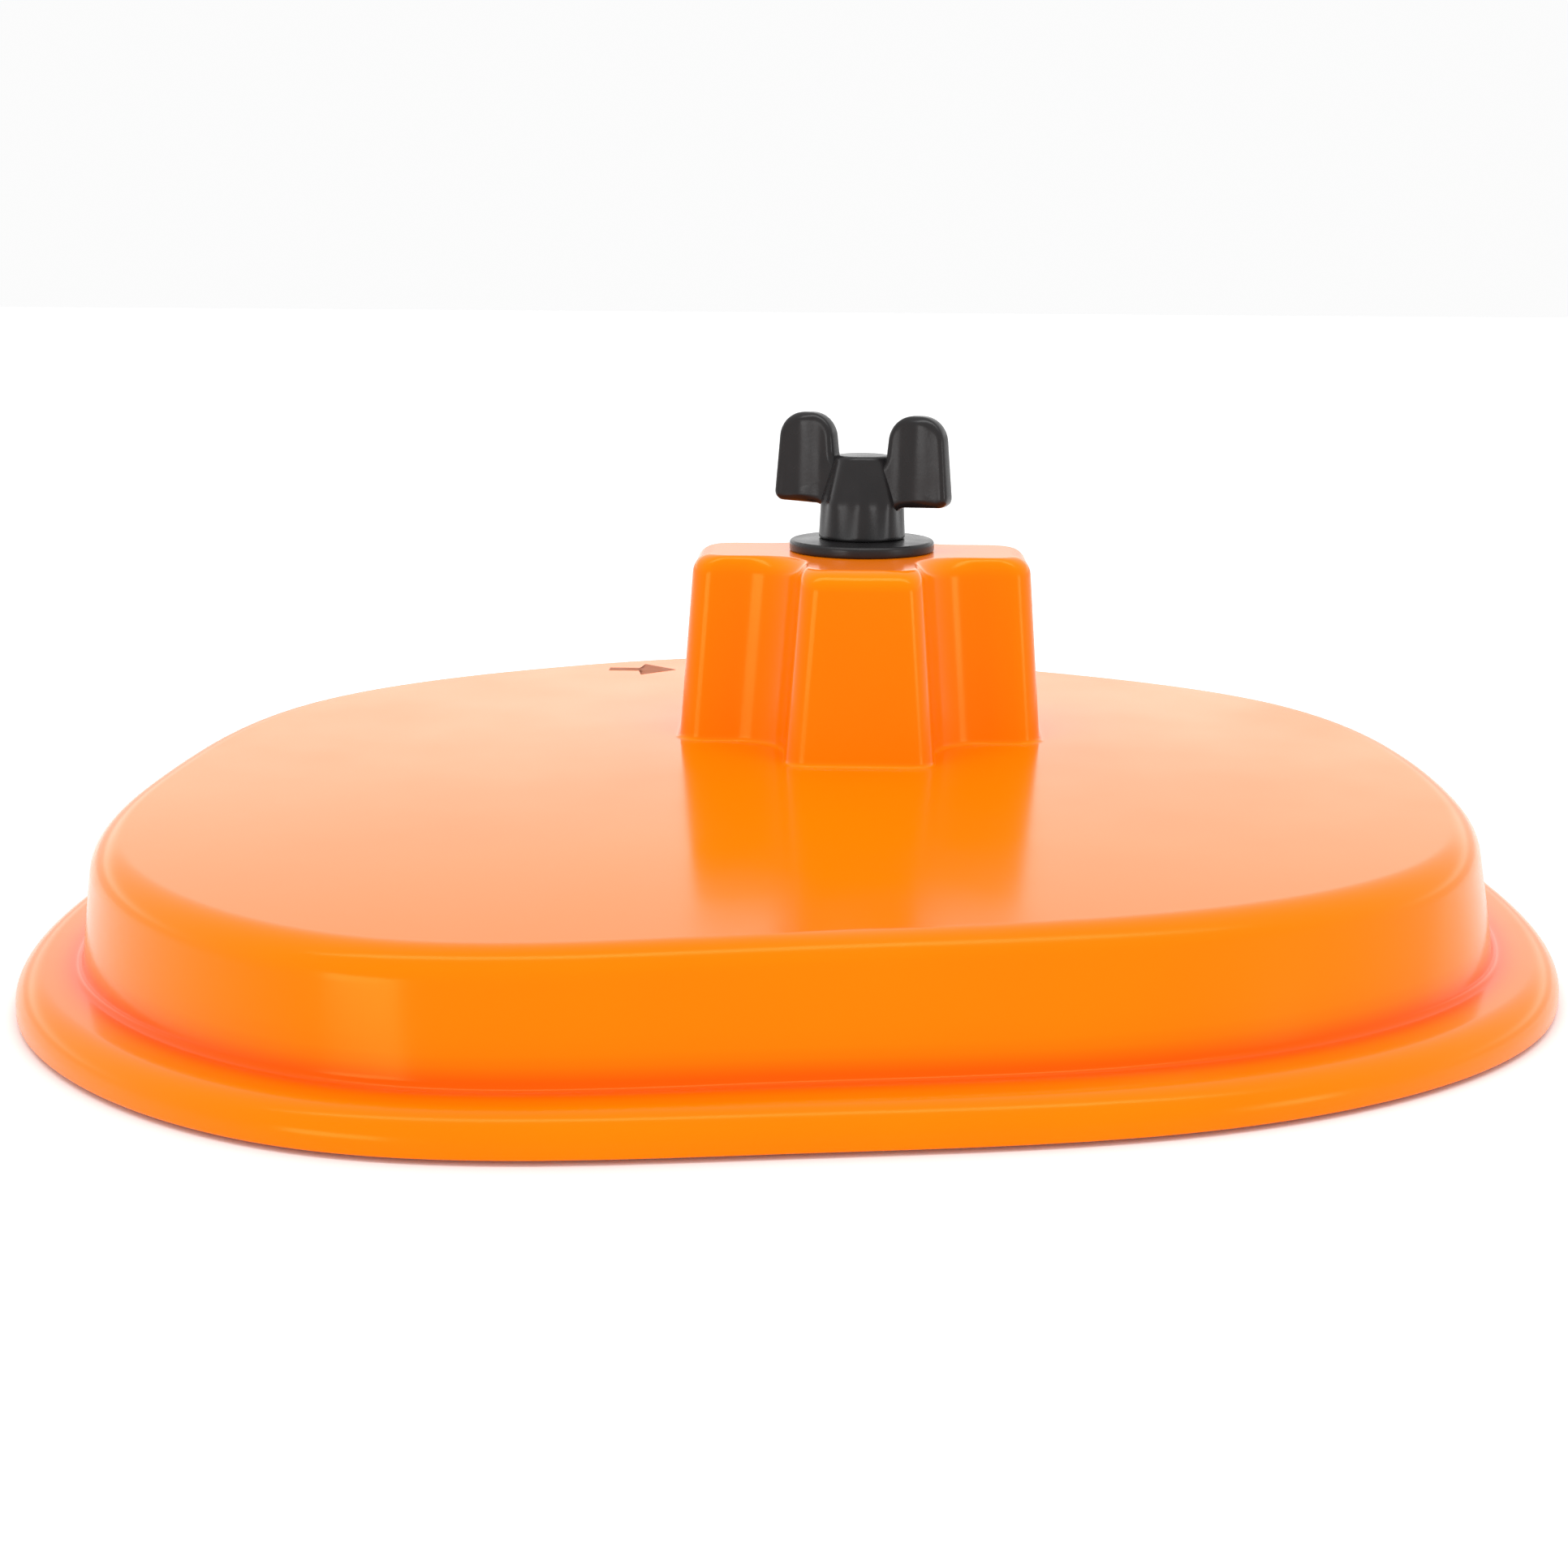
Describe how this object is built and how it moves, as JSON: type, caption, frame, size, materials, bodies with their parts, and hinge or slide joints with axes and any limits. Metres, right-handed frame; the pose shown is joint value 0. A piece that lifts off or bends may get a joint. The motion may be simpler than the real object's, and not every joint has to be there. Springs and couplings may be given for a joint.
{
  "type": "air filter box wash cover",
  "caption": "Moulded plastic lid with a sealing brim and a hollow cross-shaped hub, held down by a captive wing screw.",
  "frame": {"origin": "wing screw's axis, in the plane that the cover's seal stands on", "axes": "+Z along the wing screw's axis, from the seal to the wings; +X along one pair of hub arms, to the right seen from the longer side of the plate; -Y towards that longer side"},
  "size_m": [0.2339, 0.2232, 0.0806],
  "materials": {
    "cover_plastic": "gloss",
    "seal_rubber": "matte",
    "nylon": "satin",
    "zinc_steel": "satin",
    "spring_steel": "satin"
  },
  "bodies": {
    "cover": {"cover_shell": "cover_plastic", "rim_seal": "seal_rubber", "hub_seal": "seal_rubber"},
    "collar": {"flange_washer": "nylon"},
    "screw": {"wing_head": "nylon", "screw_stud": "zinc_steel", "stop_washer": "zinc_steel", "retaining_ring": "spring_steel"}
  },
  "joints": [
    {"name": "screw_lift", "type": "slide", "parent": "cover", "child": "collar", "axis": [0, 0, 1], "range_m": [0, 0.013]},
    {"name": "screw_spin", "type": "hinge", "parent": "collar", "child": "screw", "pos_m": [0, 0, 0.0602], "axis": [0, 0, 1], "continuous": true}
  ]
}
